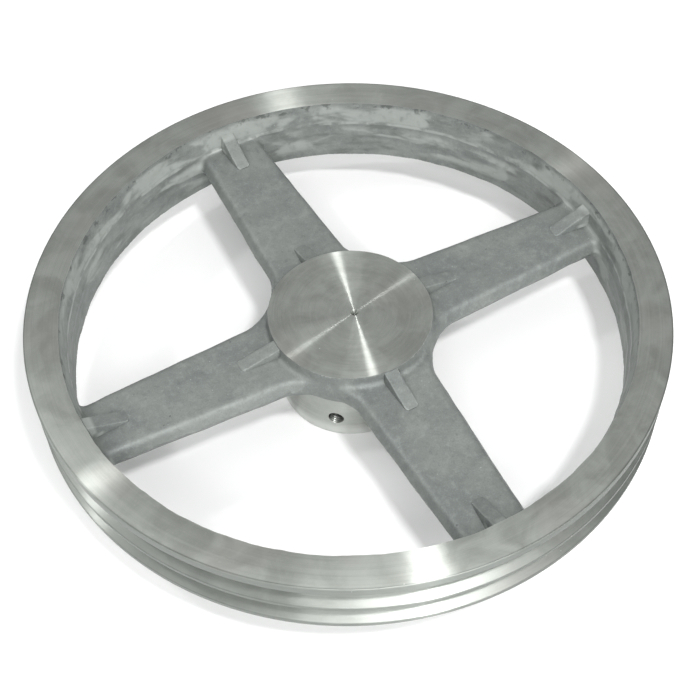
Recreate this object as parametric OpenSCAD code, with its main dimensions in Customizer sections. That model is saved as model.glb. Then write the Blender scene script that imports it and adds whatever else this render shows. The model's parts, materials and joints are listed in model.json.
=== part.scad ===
// Two-groove V-belt pulley: a one-piece aluminium casting with four flat arms,
// machined on its rim, hub face, boss and bore, and held on its shaft by a socket set screw.
// Axis along +Z, origin at the centre of the boss's bottom end, arms along X and Y.

/* [Rim] */
// Outside diameter over the lands between the grooves
rim_d = 330; // [322:1:340]
// Inside diameter of the turned ring at the top of the rim
rim_face_inner_d = 295.6; // [292:0.2:297]
// How far the inside wall closes in below the turned ring
rim_ridge_inset = 2.5; // [1.5:0.1:3.5]
// Depth of that narrowest line below the turned ring
rim_ridge_drop = 12; // [9:0.5:14]
// Inside diameter at the bottom of the rim
rim_bottom_inner_d = 290.4; // [289:0.2:294]
// Height of the turned ring above the hub's face
rim_rise = 8; // [4:0.5:11]

/* [Belt grooves] */
// Width of each groove at the outside diameter
groove_w = 13; // [12.6:0.1:13.3]
// Depth of each groove
groove_depth = 12; // [10:0.5:12.5]
// Included angle between a groove's flanks, in degrees
groove_angle = 36; // [34:1:38]
// Width of the land above the upper groove
top_land = 5.5; // [4.5:0.1:6.5]
// Width of the land between the grooves
mid_land = 2.2; // [1.6:0.1:2.8]
// Width of the land below the lower groove
bottom_land = 2.8; // [2:0.1:3.5]

/* [Hub] */
// Length of the hub from the boss's end to the turned top face
hub_len = 55.5; // [50:0.5:60]
// Diameter of the turned top face
hub_face_d = 85.2; // [82:0.2:88]
// Diameter of the hub at the mould's parting plane
hub_part_d = 90; // [89:0.5:94]
// Diameter of the turned boss below the arms
boss_d = 77; // [72:0.5:80]
// Diameter of the shaft bore, which is blind
bore_d = 25; // [20:1:30]
// Depth of the shaft bore from the boss's end
bore_depth = 45; // [38:1:46]
// Width of the turned chamfer at the bore's mouth and round the boss's end
edge_chamfer = 1; // [0.5:0.1:1.5]
// Diameter of the centre-drilled mark in the top face
centre_d = 5.6; // [4:0.2:7]

/* [Arms] */
// Number of arms
arm_count = 4; // [4:1:4]
// Width of an arm where it leaves the hub
arm_w_hub = 46.6; // [44:0.2:49]
// Width of an arm where it meets the rim
arm_w_rim = 38; // [34:0.2:42]
// Thickness of an arm
arm_t = 12; // [11:0.5:13]
// Depth of the arms' middle plane below the rim's turned ring
arm_drop = 19.8; // [19:0.1:21]
// Radius along an arm's long edges
arm_edge_r = 3.5; // [2:0.5:4.5]
// Radius of the corner between an arm and the hub
root_fillet_r = 10; // [7:0.5:12]
// Radius of the corner between an arm and the rim
tip_fillet_r = 4.5; // [3:0.5:6]

/* [Gussets] */
// Thickness of the wedge ribs along the arms
gusset_w = 7.8; // [5:0.2:9]
// Radius at which a hub rib runs out into the arm
hub_gusset_end = 65; // [58:1:72]
// Radius at which a rim rib runs out into the arm
rim_gusset_end = 126; // [118:1:132]
// Height of a rim rib above the arm at the rim's wall
rim_gusset_rise = 8.4; // [6:0.2:9.5]

/* [Set screw] */
// Thread diameter of the set screw
screw_d = 8; // [8:1:10]
// Length of the set screw
screw_len = 20; // [16:1:22]
// Height of the screw's axis above the boss's end
screw_z = 14; // [12:0.5:18]
// Angle of the screw's axis round the hub, in degrees from the first arm
screw_az = 229; // [215:1:240]
// Width across flats of the screw's hexagon socket
socket_af = 4; // [4:0.5:5]
// Depth of the hexagon socket
socket_depth = 5; // [4:0.5:7]

/* [Hidden] */
$fn = 96;

rim_r = rim_d / 2;
rim_w = top_land + groove_w + mid_land + groove_w + bottom_land;
rim_top_z = hub_len + rim_rise;
rim_bottom_z = rim_top_z - rim_w;
rim_face_inner_r = rim_face_inner_d / 2;
rim_ridge_r = rim_face_inner_r - rim_ridge_inset;
groove_root_r = rim_r - groove_depth;
groove_closing = groove_depth * tan(groove_angle / 2);

arm_z = rim_top_z - arm_drop;
arm_top_z = arm_z + arm_t / 2;
arm_bottom_z = arm_z - arm_t / 2;
arm_root_x = hub_part_d / 2;
arm_tip_x = rim_ridge_r - 3;
arm_taper = atan((arm_w_hub - arm_w_rim) / 2 / (arm_tip_x - arm_root_x));
// Arms start inside the hub and end inside the rim's wall
arm_start_x = boss_d / 2 - 10;
arm_end_x = groove_root_r - 4;

boss_r = boss_d / 2;
bore_r = bore_d / 2;
hub_face_r = hub_face_d / 2;
// The hub's cast flange ends just below the arms
flange_bottom_z = arm_bottom_z - 1;
flange_bottom_r = hub_part_d / 2 - 1.5;

// The tapped hole is the thread's diameter, and the screw runs 0.05 mm inside it all round
screw_hole_r = screw_d / 2;
screw_r = screw_hole_r - 0.05;
cup_r = screw_d / 4;
cup_depth = 1.4;

// A fillet's arc stops this far short of the faces it blends
blend_gap = 0.1;
// The ribs are sunk this far into the arm
gusset_sunk = 2;

// Half the width of an arm at a distance x from the axis
function arm_half_w(x) = arm_w_hub / 2 - (x - arm_root_x) * tan(arm_taper);

module rim() {
    upper_groove_z = rim_top_z - top_land;
    lower_groove_z = upper_groove_z - groove_w - mid_land;
    rotate_extrude($fn = 360)
        difference() {
            polygon([
                [rim_face_inner_r, rim_top_z],
                [rim_ridge_r, rim_top_z - rim_ridge_drop],
                [rim_bottom_inner_d / 2, rim_bottom_z],
                [rim_r, rim_bottom_z],
                [rim_r, rim_top_z]
            ]);
            groove_section(upper_groove_z);
            groove_section(lower_groove_z);
        }
}

// One V-groove, from its upper lip at z = top_z; its mouth runs on past the lands
module groove_section(top_z) {
    overrun = 2;
    flare = overrun * tan(groove_angle / 2);
    polygon([
        [rim_r + overrun, top_z + flare],
        [groove_root_r, top_z - groove_closing],
        [groove_root_r, top_z - groove_w + groove_closing],
        [rim_r + overrun, top_z - groove_w - flare]
    ]);
}

// The solid of the hub: turned boss, cast flange with draft both ways, turned top face
module hub_blank() {
    rotate_extrude($fn = 180)
        polygon([
            [0, 0],
            [boss_r - edge_chamfer, 0],
            [boss_r, edge_chamfer],
            [boss_r, flange_bottom_z],
            [flange_bottom_r, flange_bottom_z],
            [hub_part_d / 2, arm_z],
            [hub_face_r, hub_len],
            [0, hub_len]
        ]);
}

// Section of a wide bar whose edge, at x = 0, is rounded above and below
module arm_edge_section() {
    inside = arm_w_hub;
    translate([-inside, -arm_t / 2])
        square([inside - arm_edge_r, arm_t]);
    translate([-arm_edge_r - 1, -arm_t / 2 + arm_edge_r])
        square([arm_edge_r + 1, arm_t - 2 * arm_edge_r]);
    for (side = [-1, 1])
        translate([-arm_edge_r, side * (arm_t / 2 - arm_edge_r)])
            circle(arm_edge_r, $fn = 48);
}

// The bar that holds one long edge of an arm, turned to the arm's taper
module arm_side() {
    reach = arm_end_x + 20;
    translate([arm_root_x, arm_w_hub / 2, arm_z])
        rotate([0, 0, -arm_taper])
            translate([-arm_root_x, 0, 0])
                rotate([90, 0, 90])
                    linear_extrude(reach)
                        arm_edge_section();
}

// The corner pieces that round an arm into the hub and into the rim, on its +Y side
module arm_fillets() {
    flat_t = arm_t - arm_edge_r;
    inside = 4;
    hub_cy = arm_half_w(arm_root_x) + root_fillet_r;
    hub_cx = sqrt(pow(hub_part_d / 2 + root_fillet_r, 2) - pow(hub_cy, 2));
    wall_r = rim_ridge_r;
    rim_cy = arm_half_w(arm_tip_x) + tip_fillet_r;
    rim_cx = sqrt(pow(wall_r - tip_fillet_r, 2) - pow(rim_cy, 2));
    out = arm_end_x / norm([rim_cx, rim_cy]);
    into = arm_start_x / norm([hub_cx, hub_cy]);
    translate([0, 0, arm_z - flat_t / 2])
        linear_extrude(flat_t) {
            difference() {
                polygon([
                    [into * hub_cx, into * hub_cy],
                    [arm_start_x, hub_cy - root_fillet_r - inside],
                    [hub_cx, hub_cy - root_fillet_r - inside],
                    [hub_cx, hub_cy]
                ]);
                translate([hub_cx, hub_cy])
                    circle(root_fillet_r - blend_gap);
            }
            difference() {
                polygon([
                    [rim_cx, rim_cy],
                    [rim_cx, rim_cy - tip_fillet_r - inside],
                    [arm_end_x - 1, rim_cy - tip_fillet_r - inside],
                    [out * rim_cx, out * rim_cy]
                ]);
                translate([rim_cx, rim_cy])
                    circle(tip_fillet_r - blend_gap);
            }
        }
}

// A wedge rib's outline, in the plane of the arm's middle line and the axis, is a child of this
module rib() {
    translate([0, gusset_w / 2, 0])
        rotate([90, 0, 0])
            linear_extrude(gusset_w)
                children();
}

// The rib from the hub's top face down to the arm; the turned boss leaves no room for one below
module hub_gusset() {
    top = hub_len - 0.4 - arm_z;
    slope = (top - arm_t / 2) / (hub_gusset_end - hub_face_r);
    rib()
        polygon([
            [arm_start_x, arm_t / 2 - gusset_sunk],
            [arm_start_x, top],
            [hub_face_r, top],
            [hub_gusset_end + gusset_sunk / slope, arm_t / 2 - gusset_sunk]
        ]);
}

// The rib from the arm up the inside wall of the rim
module rim_gusset() {
    slope = rim_gusset_rise / (rim_ridge_r - rim_gusset_end);
    rib()
        polygon([
            [rim_gusset_end - gusset_sunk / slope, arm_t / 2 - gusset_sunk],
            [arm_end_x, arm_t / 2 + (arm_end_x - rim_gusset_end) * slope],
            [arm_end_x, arm_t / 2 - gusset_sunk]
        ]);
}

module arm() {
    intersection() {
        arm_side();
        mirror([0, 1, 0])
            arm_side();
        translate([arm_start_x, -arm_w_hub, arm_z - arm_t])
            cube([arm_end_x - arm_start_x, 2 * arm_w_hub, 2 * arm_t]);
    }
    arm_fillets();
    mirror([0, 1, 0])
        arm_fillets();
    translate([0, 0, arm_z]) {
        hub_gusset();
        rim_gusset();
        mirror([0, 0, 1])
            rim_gusset();
    }
}

// Places its children along the set screw's axis, from the shaft's axis outwards
module along_screw() {
    rotate([0, 0, screw_az])
        translate([0, 0, screw_z])
            rotate([0, 90, 0])
                children();
}

module shaft_bore() {
    past = 1;
    translate([0, 0, -past])
        cylinder(h = bore_depth + past, r = bore_r);
    translate([0, 0, -past])
        cylinder(h = past + edge_chamfer, r1 = bore_r + past + edge_chamfer, r2 = bore_r);
}

module tapped_hole() {
    mouth = 0.4;
    past = 1;
    along_screw() {
        cylinder(h = boss_r + past, r = screw_hole_r);
        translate([0, 0, boss_r - mouth])
            cylinder(h = mouth + past, r1 = screw_hole_r, r2 = screw_hole_r + mouth + past);
    }
}

module centre_mark() {
    depth = centre_d / 2 / tan(30);
    past = 0.5;
    translate([0, 0, hub_len - depth])
        cylinder(h = depth + past, r1 = 0, r2 = (depth + past) * tan(30));
}

module pulley_casting() {
    color([0.62, 0.63, 0.61])
        difference() {
            union() {
                rim();
                hub_blank();
                for (i = [0 : arm_count - 1])
                    rotate([0, 0, i * 360 / arm_count])
                        arm();
            }
            shaft_bore();
            tapped_hole();
            centre_mark();
        }
}

// Rests with its cup point level with the wall of the bore
module set_screw() {
    chamfer = 0.8;
    color([0.22, 0.22, 0.23])
        along_screw()
            difference() {
                translate([0, 0, bore_r])
                    union() {
                        cylinder(h = 1.6, r1 = cup_r + 0.9, r2 = screw_r);
                        translate([0, 0, 1.6])
                            cylinder(h = screw_len - 1.6 - chamfer, r = screw_r);
                        translate([0, 0, screw_len - chamfer])
                            cylinder(h = chamfer, r1 = screw_r, r2 = screw_r - chamfer);
                    }
                translate([0, 0, bore_r - 0.01])
                    cylinder(h = cup_depth, r1 = cup_r, r2 = 0);
                translate([0, 0, bore_r + screw_len - socket_depth])
                    cylinder(h = socket_depth + 1, r = socket_af / 2 / cos(30), $fn = 6);
            }
}

pulley_casting();
set_screw();
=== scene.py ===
"""Looks of the two-groove V-belt pulley: a sand-cast aluminium wheel, turned on its working faces."""

import json
import math

import bmesh
import bpy
import numpy as np
from mathutils import Matrix, Vector


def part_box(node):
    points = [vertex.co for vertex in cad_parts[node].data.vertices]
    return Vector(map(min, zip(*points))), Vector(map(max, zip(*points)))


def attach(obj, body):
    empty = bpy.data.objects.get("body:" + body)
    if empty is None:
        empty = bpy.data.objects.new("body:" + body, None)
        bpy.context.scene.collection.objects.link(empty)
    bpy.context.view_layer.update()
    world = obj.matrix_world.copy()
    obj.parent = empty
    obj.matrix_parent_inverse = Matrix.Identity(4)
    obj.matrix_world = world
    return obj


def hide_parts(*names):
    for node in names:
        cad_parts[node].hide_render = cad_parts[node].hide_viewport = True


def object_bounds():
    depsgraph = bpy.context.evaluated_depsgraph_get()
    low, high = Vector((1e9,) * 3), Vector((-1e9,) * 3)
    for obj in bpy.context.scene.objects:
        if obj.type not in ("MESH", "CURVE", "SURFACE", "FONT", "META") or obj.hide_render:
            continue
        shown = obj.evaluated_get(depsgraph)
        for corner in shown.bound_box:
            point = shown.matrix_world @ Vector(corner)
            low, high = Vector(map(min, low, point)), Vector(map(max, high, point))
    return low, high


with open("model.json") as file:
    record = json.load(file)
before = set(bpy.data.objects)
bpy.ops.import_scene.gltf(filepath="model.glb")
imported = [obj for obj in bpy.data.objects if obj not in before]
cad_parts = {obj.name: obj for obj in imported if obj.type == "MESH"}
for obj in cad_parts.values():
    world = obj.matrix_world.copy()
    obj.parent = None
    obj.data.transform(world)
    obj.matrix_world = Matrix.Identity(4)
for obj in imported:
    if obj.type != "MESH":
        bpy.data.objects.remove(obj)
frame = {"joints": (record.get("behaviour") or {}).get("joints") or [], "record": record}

cad_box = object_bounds()
mounts = {m["name"]: m for m in frame["record"]["mounts"]}

# ---------------------------------------------------------------- sizes, in millimetres, in the CAD's frame

MM = 0.001
# Keeps the top face inside the CAD's box in spite of rounding
rounding = 0.0001
rim_r = cad_box[1].x / MM
rim_top = cad_box[1].z / MM - rounding
hub_top = mounts["hub_face"]["pos_m"][2] / MM
bore_r = mounts["shaft_bore"]["dims"]["r_mm"]
bore_middle = mounts["shaft_bore"]["pos_m"][2] / MM
bore_end = bore_middle + mounts["shaft_bore"]["dims"]["length_mm"] / 2
groove_middles = [mounts[name]["pos_m"][2] / MM for name in ("lower_groove", "upper_groove")]

groove_half_w = 6.5
groove_depth = 12.0
groove_slope = math.tan(math.radians(18))
land_w = 2.8
rim_bottom = groove_middles[0] - groove_half_w - land_w
ring_inner_r = 147.8
ridge_r = 145.3
ridge_z = rim_top - 12.0
wall_bottom_r = 145.2

hub_face_r = 42.6
hub_part_r = 45.0
hub_draft = 0.2
boss_r = 38.5

arm_z = rim_top - 19.8
arm_half_t = 6.0
arm_top = arm_z + arm_half_t
arm_bottom = arm_z - arm_half_t
arm_half_w = 23.3
arm_taper = math.tan(math.radians(2.53))
arm_side_draft = 0.5

rib_half_w = 3.7
rib_run_out = 0.35
# How far the rib on each arm reaches from the hub's middle; they aren't quite the same on the casting
hub_rib_reach = (63.0, 58.0, 64.0, 65.0)
rim_rib_reach = 125.5
rim_rib_rise = 9.4

screw_axis = Vector(frame["joints"][0]["axis"])
screw_low, screw_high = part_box("set_screw")
screw_z = (screw_low.z + screw_high.z) / 2 / MM
screw_r = (screw_high.z - screw_low.z) / 2 / MM
screw_len = 20.0
thread_pitch = 1.25

# The hub's face was turned, and centre-drilled, a little off the middle of the casting's hub
mark_centre = (1.9, -1.0)
mark_r = 2.1
# Turned faces nearer the middle than this are the hub's
hub_zone_r = 52.0

# The rough casting: metal left on for turning, fillets between its parts, and the foot of the hub's flange
stock = 1.6
hub_to_arm_fillet = 10.0
arm_to_rim_fillet = 5.0
arm_edge_round = 1.8
hub_fillet = 2.0
rim_fillet = 2.2
flange_drop = 3.0
top_flare = 0.35

# Where the rim's inside wall starts, for its own roughness and residue
wall_start = 141.0

# Which of the pulley's two materials a face has
CAST, TURNED = 0, 1

# ---------------------------------------------------------------- mesh helpers


def new_object(name, verts, faces, materials, slot=0):
    """A mesh object from vertices in millimetres."""
    mesh = bpy.data.meshes.new(name)
    mesh.from_pydata((np.asarray(verts, float) * MM).tolist(), [], faces)
    for material in materials:
        mesh.materials.append(material)
    mesh.polygons.foreach_set("material_index", [slot] * len(mesh.polygons))
    obj = bpy.data.objects.new(name, mesh)
    bpy.context.scene.collection.objects.link(obj)
    face_outwards(mesh)
    return obj


def face_outwards(mesh):
    bm = bmesh.new()
    bm.from_mesh(mesh)
    bmesh.ops.recalc_face_normals(bm, faces=bm.faces)
    bm.to_mesh(mesh)
    bm.free()


def rounded(corners, steps=3):
    """An (r, z) outline with its corners rounded. A corner is (r, z, radius)."""
    points = []
    count = len(corners)
    for i, (r, z, radius) in enumerate(corners):
        here = Vector((r, z))
        if radius <= 0:
            points.append((r, z))
            continue
        before = Vector(corners[i - 1][:2]) - here
        after = Vector(corners[(i + 1) % count][:2]) - here
        half = before.angle(after) / 2
        back = radius / math.tan(half)
        centre = here + (before.normalized() + after.normalized()).normalized() * (radius / math.sin(half))
        start = here + before.normalized() * back - centre
        end = here + after.normalized() * back - centre
        turn = start.angle_signed(end)
        for step in range(steps + 1):
            spoke = start.copy()
            spoke.rotate(Matrix.Rotation(-turn * step / steps, 2))
            points.append(tuple(centre + spoke))
    return points


def lathe(name, outline, materials, slot=0, segments=400):
    """A solid of revolution about Z from a closed (r, z) outline that starts and ends on the axis."""
    verts, rings, faces = [], [], []
    for r, z in outline:
        if r < 1e-6:
            rings.append([len(verts)] * segments)
            verts.append((0, 0, z))
            continue
        rings.append(range(len(verts), len(verts) + segments))
        for k in range(segments):
            angle = 2 * math.pi * k / segments
            verts.append((r * math.cos(angle), r * math.sin(angle), z))
    for low, high in zip(rings, rings[1:]):
        for k in range(segments):
            n = (k + 1) % segments
            corner = [low[k], low[n], high[n], high[k]]
            faces.append(list(dict.fromkeys(corner)))
    faces = [f for f in faces if len(f) > 2]
    return new_object(name, verts, faces, materials, slot)


def heightfield_rod(name, radius_at, length, start, materials, slot=0, rows_per_mm=8, segments=96):
    """A rod along +Z whose radius is radius_at(z, angle), closed by flat ends."""
    rows = int(length * rows_per_mm) + 1
    z = np.linspace(start, start + length, rows)
    angle = np.arange(segments) * 2 * math.pi / segments
    zz, aa = np.meshgrid(z, angle, indexing="ij")
    rr = radius_at(zz, aa)
    verts = np.stack([rr * np.cos(aa), rr * np.sin(aa), zz], -1).reshape(-1, 3).tolist()
    faces = []
    for low in range(0, (rows - 1) * segments, segments):
        high = low + segments
        for k in range(segments):
            n = (k + 1) % segments
            faces.append([low + k, low + n, high + n, high + k])
    faces.append(list(range(segments))[::-1])
    faces.append(list(range((rows - 1) * segments, rows * segments)))
    return new_object(name, verts, faces, materials, slot)


def cut(target, tool, operation):
    """Applies a boolean with another mesh, which is used up."""
    modifier = target.modifiers.new("cut", "BOOLEAN")
    modifier.solver = "MANIFOLD"
    modifier.operation = operation
    modifier.object = tool
    bpy.context.view_layer.update()
    evaluated = target.evaluated_get(bpy.context.evaluated_depsgraph_get())
    mesh = bpy.data.meshes.new_from_object(evaluated)
    target.modifiers.clear()
    target.data = mesh
    bpy.data.objects.remove(tool)


def weld(mesh):
    """Welds the corners that booleans leave almost together, and drops the slivers that this folds flat."""
    distance = 0.002 * MM
    bm = bmesh.new()
    bm.from_mesh(mesh)
    for _ in range(3):
        bmesh.ops.triangulate(bm, faces=bm.faces)
        bmesh.ops.remove_doubles(bm, verts=bm.verts, dist=distance)
        bmesh.ops.dissolve_degenerate(bm, edges=bm.edges, dist=distance)
        by_corners = {}
        for face in bm.faces:
            by_corners.setdefault(frozenset(face.verts), []).append(face)
        folded = [f for twins in by_corners.values() if len(twins) > 1 for f in twins]
        bmesh.ops.delete(bm, geom=folded, context="FACES")
    bm.to_mesh(mesh)
    bm.free()


# ---------------------------------------------------------------- the rough casting, as a distance field


def round_union(a, b, radius):
    """Two fields joined with a fillet of that radius."""
    corner = np.hypot(np.maximum(radius - a, 0), np.maximum(radius - b, 0))
    return np.maximum(radius, np.minimum(a, b)) - corner


def round_meet(a, b, radius):
    """The space inside both fields, with the edge between them rounded to that radius."""
    corner = np.hypot(np.maximum(radius + a, 0), np.maximum(radius + b, 0))
    return np.minimum(-radius, np.maximum(a, b)) + corner


def casting_field(x, y, z):
    """Distance in millimetres to the skin of the rough casting, negative inside. Four arms by folding."""
    u = np.maximum(np.abs(x), np.abs(y))
    v = np.minimum(np.abs(x), np.abs(y))
    r = np.hypot(x, y)
    off_plane = np.abs(z - arm_z)

    wall_r = np.interp(
        z,
        [rim_bottom - stock, ridge_z, rim_top + stock],
        [wall_bottom_r, ridge_r, ring_inner_r + top_flare],
    )
    wall = wall_r - r
    arm_side = v - arm_half_w + (u - hub_part_r) * arm_taper
    plan = round_union(arm_side, r - hub_part_r, hub_to_arm_fillet)
    plan = round_union(plan, wall, arm_to_rim_fillet)
    side = (plan + off_plane * arm_side_draft) / math.hypot(1, arm_side_draft)
    spider = np.maximum(round_meet(side, off_plane - arm_half_t, arm_edge_round), r - rim_r)

    flange = r - hub_part_r + off_plane * hub_draft
    flange = np.maximum(flange, arm_bottom - flange_drop - z)
    boss = np.maximum(r - boss_r - stock, z - arm_z)
    hub = np.minimum(flange, boss)
    hub = np.maximum(hub, np.maximum(z - hub_top - stock, -stock - z))

    rim = np.maximum(wall, r - rim_r - stock)
    rim = np.maximum(rim, np.maximum(z - rim_top - stock, rim_bottom - stock - z))

    body = round_union(spider, hub, hub_fillet)
    return round_union(body, rim, rim_fillet)


def surface_net(field, low, high, step):
    """Quads round the zero level of a field: one vertex in each cell that the skin crosses."""
    axes = [np.arange(lo, hi + step, step, dtype=np.float32) for lo, hi in zip(low, high)]
    grid = np.meshgrid(axes[1], axes[2], indexing="ij")
    value = np.stack([field(x, *grid) for x in axes[0]]).astype(np.float32)
    inside = value < 0
    shape = np.array(value.shape) - 1

    def corner(a, dx, dy, dz):
        return a[dx:dx + shape[0], dy:dy + shape[1], dz:dz + shape[2]]

    offsets = [(i, j, k) for i in (0, 1) for j in (0, 1) for k in (0, 1)]
    held = sum(corner(inside, *o).astype(np.int8) for o in offsets)
    cells = np.argwhere((held > 0) & (held < 8))
    number = np.full(shape, -1, np.int64)
    number[tuple(cells.T)] = np.arange(len(cells))

    total = np.zeros((len(cells), 3))
    crossings = np.zeros(len(cells))
    for a in offsets:
        for axis in range(3):
            if a[axis]:
                continue
            b = np.array(a)
            b[axis] = 1
            va = value[tuple((cells + a).T)]
            vb = value[tuple((cells + b).T)]
            hit = (va < 0) != (vb < 0)
            t = np.where(hit, va / np.where(hit, va - vb, 1), 0)
            point = cells + np.array(a) + t[:, None] * (b - np.array(a))
            total += point * hit[:, None]
            crossings += hit
    verts = total / crossings[:, None] * step + np.array([a[0] for a in axes])

    quads = []
    for axis in range(3):
        o1, o2 = [i for i in range(3) if i != axis]
        change = np.diff(inside.astype(np.int8), axis=axis)
        edges = np.argwhere(change != 0)
        pair = edges[:, [o1, o2]]
        edges = edges[((pair > 0) & (pair < shape[[o1, o2]])).all(1)]
        ring = []
        for d1, d2 in ((1, 1), (0, 1), (0, 0), (1, 0)):
            cell = edges.copy()
            cell[:, o1] -= d1
            cell[:, o2] -= d2
            ring.append(number[tuple(cell.T)])
        quads.append(np.stack(ring, 1))
    return verts, np.concatenate(quads)


def onto_skin(field, verts, passes=3):
    """Moves vertices to the field's zero level along its gradient, and returns the unit normals too."""
    reach = 0.05
    for _ in range(passes):
        x, y, z = verts.T
        value = field(x, y, z)
        grad = np.stack([
            field(x + reach, y, z) - field(x - reach, y, z),
            field(x, y + reach, z) - field(x, y - reach, z),
            field(x, y, z + reach) - field(x, y, z - reach),
        ], 1) / (2 * reach)
        length = np.maximum(np.linalg.norm(grad, axis=1), 0.3)
        verts = verts - grad * (np.clip(value, -1, 1) / length ** 2)[:, None]
    return verts, grad / length[:, None]


def waves(points, rng, size, count):
    """Smooth noise of about +-1 with features of about that size: a sum of randomly turned sine waves."""
    total = np.zeros(len(points))
    for _ in range(count):
        across = rng.normal(size=3)
        across /= np.linalg.norm(across)
        pitch = size * rng.uniform(0.7, 1.5)
        total += np.sin(points @ across * 2 * math.pi / pitch + rng.uniform(0, 2 * math.pi))
    return total / math.sqrt(count)


def rough_casting(materials):
    """The casting as it leaves the mould, with the slight unevenness of a sand mould."""
    margin = stock + 2.5
    step = 1.4
    high = (rim_r + margin, rim_r + margin, rim_top + margin)
    low = (-high[0], -high[1], -margin)
    verts, quads = surface_net(casting_field, low, high, step)
    verts, normals = onto_skin(casting_field, verts)
    rng = np.random.default_rng(11)
    uneven = 0.16 * waves(verts, rng, size=38, count=14)
    uneven += 0.07 * waves(verts, rng, size=11, count=18)
    on_wall = np.clip((np.hypot(verts[:, 0], verts[:, 1]) - wall_start) / 3, 0, 1)
    uneven += on_wall * 0.12 * waves(verts, rng, size=16, count=14)
    uneven += on_wall * 0.06 * waves(verts, rng, size=6, count=16)
    verts = verts + normals * uneven[:, None]
    return new_object("pulley", verts, quads.tolist(), materials)


def rib(near, far, flip):
    """Vertices and faces of a wedge rib along +X, sunk in the arm. Its top runs from near to far."""
    nose, bevel, guard, draft = 1.6, 0.5, 0.7, 0.2
    outward = 1 if far[0] > near[0] else -1
    length = abs(far[0] - near[0])
    straight = np.arange(0, length - nose, 1.6)
    round_end = length - nose * np.array([1, 0.75, 0.5, 0.3, 0.12, 0])
    stations = np.concatenate([straight, round_end])
    verts = []
    for along in stations:
        tip = max(0.0, nose - (length - along))
        half = rib_half_w - nose + math.sqrt(max(nose ** 2 - tip ** 2, 0.1))
        top = near[1] + (far[1] - near[1]) * along / length
        depth = top - arm_z
        side = [
            (half + draft * depth, depth),
            (half + draft * (bevel + guard), bevel + guard),
            (half, bevel),
            (half - bevel * 0.3, bevel * 0.3),
            (half - bevel, 0),
            (half - bevel - guard, 0),
        ]
        section = [(y, top - drop) for y, drop in side] + [(-y, top - drop) for y, drop in side[::-1]]
        verts += [(near[0] + outward * along, y, 2 * arm_z - z if flip else z) for y, z in section]
    count = len(section)
    rows = len(stations)
    faces = [list(range(count)), list(range((rows - 1) * count, rows * count))]
    for i in range(rows - 1):
        for j in range(count):
            n = (j + 1) % count
            faces.append([i * count + j, i * count + n, (i + 1) * count + n, (i + 1) * count + j])
    return np.array(verts), faces


def ribs(materials):
    """All the ribs: one at the hub and, above and below the arm, two at the rim on each arm."""
    rng = np.random.default_rng(5)
    verts, faces = [], []
    hub_start = (hub_face_r - 3.0, hub_top - 0.1)
    rim_start = (ring_inner_r + 2.0, arm_top + rim_rib_rise)
    rim_end = (rim_rib_reach, arm_top + rib_run_out)
    for arm, reach in enumerate(hub_rib_reach):
        made = [rib(hub_start, (reach, arm_top + rib_run_out), flip=False)]
        made += [rib(rim_start, rim_end, flip) for flip in (False, True)]
        for points, loops in made:
            points = points + 0.09 * waves(points, rng, size=12, count=10)[:, None] * np.array([0, 1, 1])
            turn = np.array(Matrix.Rotation(arm * math.pi / 2, 3, "Z"))
            start = sum(len(v) for v in verts)
            verts.append(points @ turn.T)
            faces += [[start + i for i in loop] for loop in loops]
    return new_object("ribs", np.concatenate(verts), faces, materials)


# ---------------------------------------------------------------- the turned faces


def turned_envelope(materials):
    """Everything that the lathe leaves: the casting is cut back to this solid of revolution."""
    lip, groove_lip, groove_root = 0.3, 0.2, 0.7
    bore_chamfer, bore_end_round = 1.0, 0.4
    boss_foot_round, shoulder_fillet = 0.9, 0.5
    shoulder_z = arm_bottom - 1.0
    root_r = rim_r - groove_depth
    closing = groove_depth * groove_slope
    # Between the turned faces the outline stands clear of the casting
    clear = 12.0
    below = 3.0
    inside_wall = ridge_r - 2.0
    past_hub = hub_part_r + 6.0
    outline = [
        (0, bore_end, 0),
        (bore_r, bore_end, bore_end_round),
        (bore_r, bore_chamfer, 0),
        (bore_r + bore_chamfer, 0, 0),
        (boss_r, 0, boss_foot_round),
        (boss_r, shoulder_z, shoulder_fillet),
        (hub_part_r + 1.0, shoulder_z, 0),
        (hub_part_r + clear, shoulder_z - clear, 0),
        (ridge_r - clear, rim_bottom - below, 0),
        (inside_wall, rim_bottom - below, 0),
        (inside_wall, rim_bottom, 0),
        (rim_r, rim_bottom, lip),
    ]
    for middle in groove_middles:
        outline += [
            (rim_r, middle - groove_half_w, groove_lip),
            (root_r, middle - groove_half_w + closing, groove_root),
            (root_r, middle + groove_half_w - closing, groove_root),
            (rim_r, middle + groove_half_w, groove_lip),
        ]
    outline += [
        (rim_r, rim_top, lip),
        (past_hub, rim_top, 0),
        (past_hub, hub_top, 0),
        (0, hub_top, 0),
    ]
    return lathe("envelope", rounded(outline), materials, TURNED)


def centre_mark(materials):
    """The countersink and pilot that a centre drill leaves."""
    rise = 2.0
    slope = math.tan(math.radians(60))
    pilot_r = 0.8
    pilot_depth = 4.0
    outline = [
        (0, hub_top - pilot_depth - 0.5),
        (pilot_r, hub_top - pilot_depth),
        (pilot_r, hub_top - (mark_r - pilot_r) * slope),
        (mark_r, hub_top),
        (mark_r + rise / slope, hub_top + rise),
        (0, hub_top + rise),
    ]
    mark = lathe("centre_mark", outline, materials, TURNED, segments=64)
    mark.data.transform(Matrix.Translation(Vector((*mark_centre, 0)) * MM))
    return mark


def thread_wave(z, angle):
    """0 at the crest of a right-hand thread, and 1 at its root, which is flat for a fifth of the pitch."""
    turn = (z / thread_pitch - angle / (2 * math.pi)) % 1.0
    off_root = np.abs(turn - 0.5)
    return np.clip(2.5 * (0.5 - off_root), 0, 1)


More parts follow.
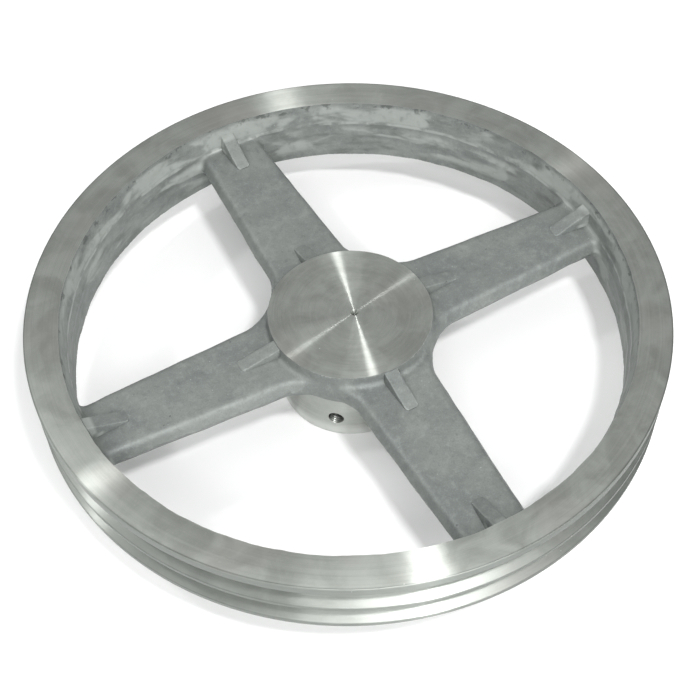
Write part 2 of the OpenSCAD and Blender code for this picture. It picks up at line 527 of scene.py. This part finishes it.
def to_screw_axis(obj, start_r):
    """Lays an object built along +Z on the set screw's axis, its origin start_r from the shaft's axis."""
    turn = screw_axis.to_track_quat("Z", "Y").to_matrix().to_4x4()
    place = Matrix.Translation(screw_axis * start_r * MM + Vector((0, 0, screw_z * MM)))
    obj.data.transform(place @ turn)


def tapped_hole(materials):
    """The space that the tap and the countersink leave, from the bore out through the boss."""
    hole_r = screw_r + 0.05
    thread_depth = 0.35
    start, end = bore_r - 4.0, boss_r + 3.0
    mouth = boss_r - 0.3

    def radius(z, angle):
        threads = hole_r + thread_depth * thread_wave(z, angle)
        return np.maximum(threads, hole_r + z - mouth)

    rod = heightfield_rod("tap", radius, end - start, start, materials, TURNED)
    to_screw_axis(rod, 0)
    return rod


def set_screw(material):
    """A cup-point socket set screw with a rolled thread, built tip first along +Z."""
    root_depth = 0.7
    cup_r, cup_depth = 2.0, 1.5
    point_r, point_slope = 2.35, 1.1
    crown_r, crown_slope = screw_r - 1.0, 1.4
    key_across, key_depth, drill_tip = 4.0, 4.6, 1.1
    lead_w = 0.6
    past_end = 1.0

    def radius(z, angle):
        threads = screw_r - root_depth * thread_wave(z + 0.3, angle)
        point = point_r + z * point_slope
        crown = crown_r + (screw_len - z) * crown_slope
        return np.minimum(threads, np.minimum(point, crown))

    screw = heightfield_rod("set_screw_body", radius, screw_len, 0, [material], rows_per_mm=12)

    socket_end = screw_len - key_depth
    corner_r = key_across / math.sqrt(3)
    turns = [i * math.pi / 3 for i in range(6)]
    corners = [(corner_r * math.cos(turn), corner_r * math.sin(turn)) for turn in turns]
    verts = [(x, y, z) for z in (socket_end, screw_len + past_end) for x, y in corners]
    verts.append((0, 0, socket_end - drill_tip))
    faces = [[i, (i + 1) % 6, 6 + (i + 1) % 6, 6 + i] for i in range(6)]
    faces += [[12, (i + 1) % 6, i] for i in range(6)]
    faces.append([6, 7, 8, 9, 10, 11])
    cut(screw, new_object("key_socket", verts, faces, [material]), "DIFFERENCE")

    lead_r = key_across / 2 + lead_w
    lead = [
        (0, screw_len + past_end),
        (lead_r + past_end, screw_len + past_end),
        (lead_r - past_end, screw_len - past_end),
        (0, screw_len - past_end),
    ]
    cut(screw, lathe("socket_lead", lead, [material], segments=64), "DIFFERENCE")

    cup = [(0, -past_end), (cup_r + 0.9, -past_end), (0, cup_depth)]
    cut(screw, lathe("cup", cup, [material], segments=64), "DIFFERENCE")
    to_screw_axis(screw, bore_r)
    return screw


def shade(obj, angle):
    """Smooth shading that keeps edges sharper than angle."""
    mesh = obj.data
    mesh.polygons.foreach_set("use_smooth", [True] * len(mesh.polygons))
    mesh.set_sharp_from_angle(angle=math.radians(angle))


# ---------------------------------------------------------------- materials


class Shader:
    """A short way to write a node material. Places are in millimetres, in the CAD's frame."""

    def __init__(self, name):
        self.material = bpy.data.materials.new(name)
        self.material.use_nodes = True
        self.tree = self.material.node_tree
        self.tree.nodes.clear()
        place = self.add("TexCoord").outputs["Object"]
        self.mm = self.add("VectorMath", {0: place, "Scale": 1 / MM}, operation="SCALE").outputs[0]
        split = self.add("SeparateXYZ", {0: self.mm})
        self.x, self.y, self.z = split.outputs
        self.r = self.length(self.x, self.y)
        # The same, from the axis that a face was turned about
        near_hub = self.maths("LESS_THAN", self.r, hub_zone_r)
        self.off_x = self.maths("SUBTRACT", self.x, self.maths("MULTIPLY", near_hub, mark_centre[0]))
        self.off_y = self.maths("SUBTRACT", self.y, self.maths("MULTIPLY", near_hub, mark_centre[1]))
        self.off_r = self.length(self.off_x, self.off_y)
        # Noise at this place comes out stretched round the rim
        self.flattened = self.vector(self.x, self.y, self.share(self.z, 3.0))

    def add(self, kind, inputs=None, **settings):
        node = self.tree.nodes.new("ShaderNode" + kind)
        for key, value in settings.items():
            setattr(node, key, value)
        for key, value in (inputs or {}).items():
            self.put(node.inputs[key], value)
        return node

    def put(self, socket, value):
        if isinstance(value, bpy.types.NodeSocket):
            self.tree.links.new(value, socket)
        else:
            socket.default_value = value

    def maths(self, operation, a, b=0.0, clamp=False):
        return self.add("Math", {0: a, 1: b}, operation=operation, use_clamp=clamp).outputs[0]

    def length(self, a, b):
        squares = [self.maths("MULTIPLY", value, value) for value in (a, b)]
        return self.maths("SQRT", self.maths("ADD", *squares))

    def noise(self, size, detail=3.0, rough=0.55, at=None, distort=0.0):
        """Noise of 0 to 1 with features of about that size in millimetres."""
        return self.add("TexNoise", {
            "Vector": self.mm if at is None else at,
            "Scale": 1 / size,
            "Detail": detail,
            "Roughness": rough,
            "Distortion": distort,
        }).outputs["Fac"]

    def round_marks(self, across, turn):
        """Where noise draws marks round the axis, across millimetres wide and about turn radians long."""
        # The marks follow r on a flat face and z on a cylinder
        travel = self.maths("DIVIDE", self.maths("ADD", self.off_r, self.z), across)
        arc = self.maths("MULTIPLY", self.off_r, turn)
        sides = [self.maths("DIVIDE", side, arc) for side in (self.off_x, self.off_y)]
        return self.vector(travel, *sides)

    def cells(self, size):
        """The distance, in cells, to the nearest of points scattered about that many millimetres apart."""
        inputs = {"Vector": self.mm, "Scale": 1 / size, "Randomness": 1.0}
        return self.add("TexVoronoi", inputs).outputs["Distance"]

    def band(self, value, low, high, top=1.0):
        """0 below low, rising smoothly to top at high; it falls instead when low is above high."""
        inputs = {"Value": value, "From Min": low, "From Max": high, "To Max": top}
        if isinstance(low, float) and low > high:
            inputs = {"Value": value, "From Min": high, "From Max": low, "To Min": top, "To Max": 0.0}
        return self.add("MapRange", inputs, interpolation_type="SMOOTHSTEP").outputs[0]

    def share(self, mask, amount):
        return self.maths("MULTIPLY", mask, amount)

    def both(self, *masks):
        """Where all the masks are."""
        total = masks[0]
        for mask in masks[1:]:
            total = self.maths("MULTIPLY", total, mask)
        return total

    def blend(self, share, a, b):
        """Colour a, turning to b where share is 1."""
        node = self.add("Mix", {0: share}, data_type="RGBA")
        for socket, value in ((node.inputs[6], a), (node.inputs[7], b)):
            self.put(socket, value if isinstance(value, bpy.types.NodeSocket) else (*value, 1))
        return node.outputs[2]

    def vector(self, x, y, z):
        return self.add("CombineXYZ", {0: x, 1: y, 2: z}).outputs[0]

    def bump(self, height, distance):
        """Bumps whose height of 0 to 1 stands for that many millimetres."""
        return self.add("Bump", {"Height": height, "Distance": distance * MM, "Strength": 1.0}).outputs[0]

    def output(self, surface):
        self.add("OutputMaterial", {"Surface": surface.outputs[0]})
        return self.material

    def finish(self, colour, roughness, normal, metallic):
        return self.output(self.add("BsdfPrincipled", {
            "Base Color": colour, "Roughness": roughness, "Normal": normal, "Metallic": metallic}))


def mottled_skin(s):
    """The grey skin that a sand mould leaves, from broad clouds down to single grains."""
    cloudy = s.noise(42, 4.0)
    patchy = s.noise(12, 5.0, 0.6, distort=0.3)
    mottle = s.noise(3.6, 3.0, 0.6)
    grain = s.noise(0.8, 2.0, 0.7)
    colour = s.blend(s.band(cloudy, 0.35, 0.65), (0.155, 0.169, 0.163), (0.188, 0.201, 0.192))
    colour = s.blend(s.band(patchy, 0.46, 0.72, 0.5), colour, (0.229, 0.244, 0.231))
    colour = s.blend(s.band(patchy, 0.45, 0.24, 0.5), colour, (0.122, 0.135, 0.131))
    colour = s.blend(s.band(mottle, 0.5, 0.72, 0.5), colour, (0.242, 0.26, 0.248))
    colour = s.blend(s.band(mottle, 0.45, 0.25, 0.5), colour, (0.115, 0.124, 0.119))
    colour = s.blend(s.band(grain, 0.5, 0.75, 0.35), colour, (0.268, 0.289, 0.275))
    colour = s.blend(s.band(grain, 0.46, 0.25, 0.35), colour, (0.108, 0.119, 0.114))
    return colour, patchy, grain


def rim_residue(s, wall):
    """Where chalky mould residue lies on the rim's inside: a band above the ridge, and patches below it."""
    blotches = s.noise(34, 3.5, 0.5, at=s.flattened, distort=0.5)
    above_ridge = s.band(s.z, ridge_z - 0.6, ridge_z + 1.6)
    upper = s.both(above_ridge, s.band(s.z, rim_top - 0.8, rim_top - 3.0), s.band(blotches, 0.42, 0.53))
    off_bottom = s.band(s.z, rim_bottom + 3.0, rim_bottom + 7.0)
    lower = s.both(off_bottom, s.band(s.z, ridge_z - 2.0, ridge_z - 6.0), s.band(blotches, 0.50, 0.60))
    chalk = s.maths("MAXIMUM", upper, lower)
    return s.both(chalk, wall, s.band(s.noise(5.0, 3.0), 0.15, 0.5))


def cast_metal():
    """Sand-cast aluminium: mottled skin, pits, rubbed edges, and mould residue on the rim's inside."""
    s = Shader("cast_aluminium")
    colour, patchy, grain = mottled_skin(s)

    pits = s.both(s.band(s.cells(7.0), 0.075, 0.035), s.band(s.noise(13, 2.0), 0.54, 0.64))
    colour = s.blend(s.share(pits, 0.6), colour, (0.062, 0.068, 0.063))
    specks = s.both(s.band(s.cells(4.2), 0.075, 0.03), s.band(s.noise(17, 2.0), 0.48, 0.60))
    colour = s.blend(s.share(specks, 0.7), colour, (0.47, 0.497, 0.475))

    # Painted shade: the tight corners are painted darker, where the ambient occlusion finds them closed in
    reach = {"Distance": 5.0 * MM}
    openness = s.add("AmbientOcclusion", reach, samples=8, only_local=True).outputs["AO"]
    colour = s.blend(s.band(openness, 0.72, 0.4, 0.65), colour, (0.05, 0.054, 0.05))

    # Rubbed edges are light, but the rim's inside keeps its own pattern
    wall = s.band(s.r, wall_start + 0.5, wall_start + 3.0)
    edges = s.add("NewGeometry").outputs["Pointiness"]
    rubbed = s.both(s.band(edges, 0.515, 0.56, 0.6), s.band(s.noise(5, 3.0), 0.32, 0.55))
    worn = s.both(rubbed, s.band(wall, 1.0, 0.0))
    colour = s.blend(worn, colour, (0.393, 0.417, 0.396))

    # Painted highlight: the fillet between an arm and the rim is painted lighter, where it catches the
    # light
    above_arm = s.both(s.band(s.z, arm_top + 0.1, arm_top + 0.8), s.band(s.z, arm_top + 3.0, arm_top + 1.8))
    fillet = s.both(above_arm, s.band(s.r, wall_start - 3.0, wall_start))
    fillet_highlight = s.both(fillet, s.band(s.noise(9, 3.0), 0.36, 0.56, 0.6))
    colour = s.blend(fillet_highlight, colour, (0.414, 0.433, 0.413))

    # The rim's inside: dark and light patches, residue, and dark spots under the top edge
    shade = s.both(wall, s.band(s.noise(15, 4.0, 0.55, at=s.flattened), 0.52, 0.34, 0.65))
    colour = s.blend(shade, colour, (0.117, 0.127, 0.117))
    glow = s.both(wall, s.band(s.noise(26, 4.0, 0.55, at=s.flattened), 0.46, 0.64, 0.4))
    colour = s.blend(glow, colour, (0.253, 0.269, 0.256))
    chalk = rim_residue(s, wall)
    colour = s.blend(s.share(chalk, 0.7), colour, (0.283, 0.301, 0.284))
    under_edge = s.band(s.z, rim_top - 4.2, rim_top - 2.4)
    spots = s.both(wall, under_edge, s.band(s.noise(5, 3.0), 0.56, 0.64))
    colour = s.blend(s.share(spots, 0.6), colour, (0.054, 0.06, 0.055))

    roughness = s.maths("ADD", s.band(patchy, 0.3, 0.7, 0.10), 0.54)
    roughness = s.maths("ADD", roughness, s.share(chalk, 0.2), clamp=True)
    metallic = s.maths("SUBTRACT", 0.4, s.share(chalk, 0.3))
    height = s.maths("ADD", s.share(grain, 0.5), s.share(s.noise(2.6, 2.0), 0.5))
    height = s.maths("SUBTRACT", height, s.share(pits, 1.2))
    height = s.maths("ADD", height, s.share(chalk, 0.3))
    return s.finish(colour, roughness, s.bump(height, 0.18), metallic)


def painted_hole_shade(s):
    """Painted shade: how dark the tapped hole is painted inside. Less is painted on the lower side of its
    mouth, where light still reaches.
    """
    ahead = s.maths("ADD", s.share(s.x, screw_axis.x), s.share(s.y, screw_axis.y))
    aside = s.maths("SUBTRACT", s.share(s.y, screw_axis.x), s.share(s.x, screw_axis.y))
    above = s.maths("SUBTRACT", s.z, screw_z)
    within = s.band(s.length(aside, above), screw_r + 0.7, screw_r + 0.4)
    inside = s.both(within, s.band(ahead, 0.0, 5.0), s.band(ahead, boss_r - 0.6, boss_r - 1.4))
    lit = s.both(s.band(above, -1.6, -3.0), s.band(ahead, boss_r - 5.0, boss_r - 3.0))
    return s.both(inside, s.maths("SUBTRACT", 0.9, s.share(lit, 0.8)))


def turned_metal():
    """Turned aluminium: round tool marks that spread a lamp into a narrow radial streak, with smudges."""
    s = Shader("turned_aluminium")
    fine = s.noise(1.0, 2.0, 0.6, at=s.round_marks(0.4, 0.9))
    coarse = s.noise(1.0, 3.0, 0.6, at=s.round_marks(2.4, 0.5))
    smudge = s.noise(17, 4.0, 0.6, distort=0.8)
    stain = s.noise(48, 3.0, 0.55)
    dots = s.noise(1.1, 2.0, 0.6)
    colour = s.blend(s.band(smudge, 0.3, 0.7), (0.374, 0.388, 0.361), (0.466, 0.485, 0.456))
    colour = s.blend(s.band(stain, 0.5, 0.66, 0.6), colour, (0.41, 0.4, 0.377))
    colour = s.blend(s.band(coarse, 0.4, 0.7, 0.35), colour, (0.53, 0.548, 0.518))
    colour = s.blend(s.band(fine, 0.5, 0.25, 0.35), colour, (0.282, 0.291, 0.275))
    colour = s.blend(s.band(dots, 0.55, 0.75, 0.25), colour, (0.547, 0.555, 0.524))

    # The rim's outside is darker than its top. Painted shade on the lands, whose upright faces take less
    # light, and on the top face's outer edge, where it dims the lip's highlight; the groove flanks are
    # darker in colour too.
    below_top = s.band(s.z, rim_top - 0.4, rim_top - 1.2)
    painted_land_shade = s.both(below_top, s.band(s.r, rim_r - 0.5, rim_r - 0.15))
    colour = s.blend(s.share(painted_land_shade, 0.6), colour, (0.17, 0.183, 0.171))
    flank_start = rim_r - groove_depth - 2.0
    flanks = s.both(below_top, s.band(s.r, flank_start, flank_start + 2.0))
    colour = s.blend(s.share(flanks, 0.5), colour, (0.19, 0.203, 0.191))
    # Painted shade along the top face's outer edge
    painted_lip_shade = s.both(s.band(s.r, rim_r - 1.0, rim_r - 0.5), s.band(s.z, rim_top - 1.0, rim_top - 0.5))
    colour = s.blend(s.share(painted_lip_shade, 0.5), colour, (0.11, 0.123, 0.111))

    # Painted reflection: the boss is painted lighter towards its foot, where it mirrors the pale floor
    foot = s.both(s.band(s.r, hub_zone_r, hub_zone_r - 2.0), s.band(s.z, 11.0, 3.0))
    colour = s.blend(s.share(foot, 0.6), colour, (0.80, 0.815, 0.79))
    # Painted shade inside the tapped hole
    colour = s.blend(painted_hole_shade(s), colour, (0.022, 0.024, 0.022))
    nicks = s.both(s.band(s.cells(7.0), 0.055, 0.025), s.band(s.noise(21, 2.0), 0.54, 0.64))
    colour = s.blend(s.share(nicks, 0.7), colour, (0.90, 0.92, 0.90))

    roughness = s.maths("ADD", s.band(smudge, 0.3, 0.7, 0.10), 0.35)
    normal = s.bump(s.maths("ADD", s.share(fine, 0.5), coarse), 0.012)
    tangent = s.vector(s.share(s.off_y, -1.0), s.off_x, 0.0)
    dull = s.add("BsdfPrincipled", {
        "Base Color": colour, "Roughness": roughness, "Normal": normal, "Metallic": 1.0})
    grooved = s.add("BsdfAnisotropic", {
        "Color": colour, "Roughness": 0.3, "Anisotropy": 0.81, "Normal": normal, "Tangent": tangent})
    return s.output(s.add("MixShader", {0: 0.45, 1: dull.outputs[0], 2: grooved.outputs[0]}))


def black_steel():
    """Black-oxide steel with worn, slightly bright thread crests."""
    s = Shader("black_oxide_steel")
    cloudy = s.noise(2.5, 4.0)
    colour = s.blend(s.band(cloudy, 0.35, 0.7), (0.045, 0.045, 0.05), (0.10, 0.10, 0.105))
    edges = s.add("NewGeometry").outputs["Pointiness"]
    colour = s.blend(s.band(edges, 0.52, 0.6, 0.7), colour, (0.36, 0.36, 0.37))
    roughness = s.maths("ADD", s.band(cloudy, 0.3, 0.7, 0.15), 0.3)
    return s.finish(colour, roughness, s.bump(s.noise(0.3, 3.0), 0.01), metallic=1.0)


def pale_floor():
    """A plain pale floor that can be looked through from below."""
    s = Shader("pale_floor")
    colour = s.blend(s.band(s.noise(300, 2.0), 0.3, 0.7), (0.86, 0.86, 0.86), (0.88, 0.88, 0.88))
    normal = s.bump(s.noise(3.0, 2.0), 0.02)
    top = s.add("BsdfPrincipled", {"Base Color": colour, "Roughness": 0.9, "Normal": normal})
    # Where the object rests on the floor, light gets through to it, so that its foot isn't black from below
    from_contact = s.maths("LESS_THAN", s.add("LightPath").outputs["Ray Length"], 1.0 * MM)
    from_below = s.add("NewGeometry").outputs["Backfacing"]
    clear_share = s.maths("MAXIMUM", from_below, from_contact)
    clear = s.add("BsdfTransparent")
    return s.output(s.add("MixShader", {0: clear_share, 1: top.outputs[0], 2: clear.outputs[0]}))


# ---------------------------------------------------------------- the object

skins = [cast_metal(), turned_metal()]
pulley = rough_casting(skins)
cut(pulley, ribs(skins), "UNION")
cut(pulley, turned_envelope(skins), "INTERSECT")
cut(pulley, centre_mark(skins), "DIFFERENCE")
cut(pulley, tapped_hole(skins), "DIFFERENCE")
weld(pulley.data)
shade(pulley, 32)
pulley.name = "pulley_casting_body"
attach(pulley, "pulley")
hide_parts("pulley_casting")

screw = set_screw(black_steel())
shade(screw, 35)
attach(screw, "screw")
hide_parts("set_screw")

# ---------------------------------------------------------------- floor, light and camera

# This azimuth puts the arm along +X 27 degrees up from the picture's right
camera_azimuth = -27.428
camera_elevation = 50.171


def direction(azimuth, elevation):
    """A unit vector towards the camera's side, turned by azimuth in degrees to the right of the camera."""
    a, e = math.radians(camera_azimuth + azimuth), math.radians(elevation)
    return Vector((math.sin(a) * math.cos(e), -math.cos(a) * math.cos(e), math.sin(e)))


def area_light(name, shape, azimuth, elevation, distance, size, power):
    """A lamp of that shape that faces the middle of the object."""
    back = direction(azimuth, elevation)
    lamp = bpy.data.lights.new(name, "AREA")
    lamp.shape = shape
    lamp.size, lamp.size_y = size
    lamp.energy = power
    obj = bpy.data.objects.new(name, lamp)
    obj.location = Vector((0, 0, 0.045)) + back * distance
    obj.rotation_mode = "QUATERNION"
    obj.rotation_quaternion = (-back).to_track_quat("-Z", "Y")
    bpy.context.scene.collection.objects.link(obj)


def stage_floor():
    """The floor, just under the object's foot."""
    size = 12.0 / MM
    level = -0.05
    verts = [(-size, -size, level), (size, -size, level), (size, size, level), (-size, size, level)]
    new_object("floor", verts, [[0, 1, 2, 3]], [pale_floor()])


def camera(distance, aim, roll, lens, shift):
    """Stands off the middle of the rim's top, and looks at the point aim beside it."""
    data = bpy.data.cameras.new("camera")
    data.lens = lens
    data.shift_x, data.shift_y = shift
    data.sensor_width = 36
    data.clip_start, data.clip_end = 0.01, 50
    cam = bpy.data.objects.new("camera", data)
    middle = Vector((0, 0, rim_top * MM))
    cam.location = middle + direction(0, camera_elevation) * distance
    look = (middle + Vector(aim) - cam.location).normalized()
    tilt = Matrix.Rotation(math.radians(roll), 4, look).to_quaternion()
    cam.rotation_mode = "QUATERNION"
    cam.rotation_quaternion = tilt @ look.to_track_quat("-Z", "Y")
    bpy.context.scene.collection.objects.link(cam)
    bpy.context.scene.camera = cam


def sky():
    """A plain pale room that grows brighter high up on the camera's side."""
    world = bpy.data.worlds.new("studio")
    world.use_nodes = True
    tree = world.node_tree
    place = tree.nodes.new("ShaderNodeTexCoord")
    towards = tree.nodes.new("ShaderNodeVectorMath")
    towards.operation = "DOT_PRODUCT"
    towards.inputs[1].default_value = direction(0, 58)
    tree.links.new(place.outputs["Generated"], towards.inputs[0])
    strength = tree.nodes.new("ShaderNodeMapRange")
    strength.interpolation_type = "SMOOTHSTEP"
    for name, value in (("From Min", 0.4), ("From Max", 0.92), ("To Min", 0.55), ("To Max", 0.92)):
        strength.inputs[name].default_value = value
    tree.links.new(towards.outputs["Value"], strength.inputs["Value"])
    background = tree.nodes["Background"]
    background.inputs["Color"].default_value = (0.985, 1.0, 0.99, 1)
    tree.links.new(strength.outputs[0], background.inputs["Strength"])
    bpy.context.scene.world = world


def studio():
    """The room; two small lamps, which draw the streaks on the turned faces; and three large soft ones."""
    sky()
    bpy.context.scene.view_settings.view_transform = "Standard"
    area_light("main_lamp", "ELLIPSE", 30, 63, distance=1.6, size=(0.2, 0.16), power=14)
    area_light("second_lamp", "ELLIPSE", 261, 49, distance=1.8, size=(0.14, 0.14), power=3.9)
    area_light("left_window", "RECTANGLE", 250, 47, distance=1.8, size=(0.9, 0.4), power=2.0)
    area_light("window", "RECTANGLE", 3, 43, distance=1.8, size=(1.0, 0.4), power=11)
    area_light("key", "RECTANGLE", 22, 17, distance=1.8, size=(1.3, 0.5), power=15)


camera(distance=0.68545, aim=(-0.02123, -0.08862, 0), roll=-1.530, lens=68.423, shift=(-0.0714, 0.1357))
studio()
stage_floor()
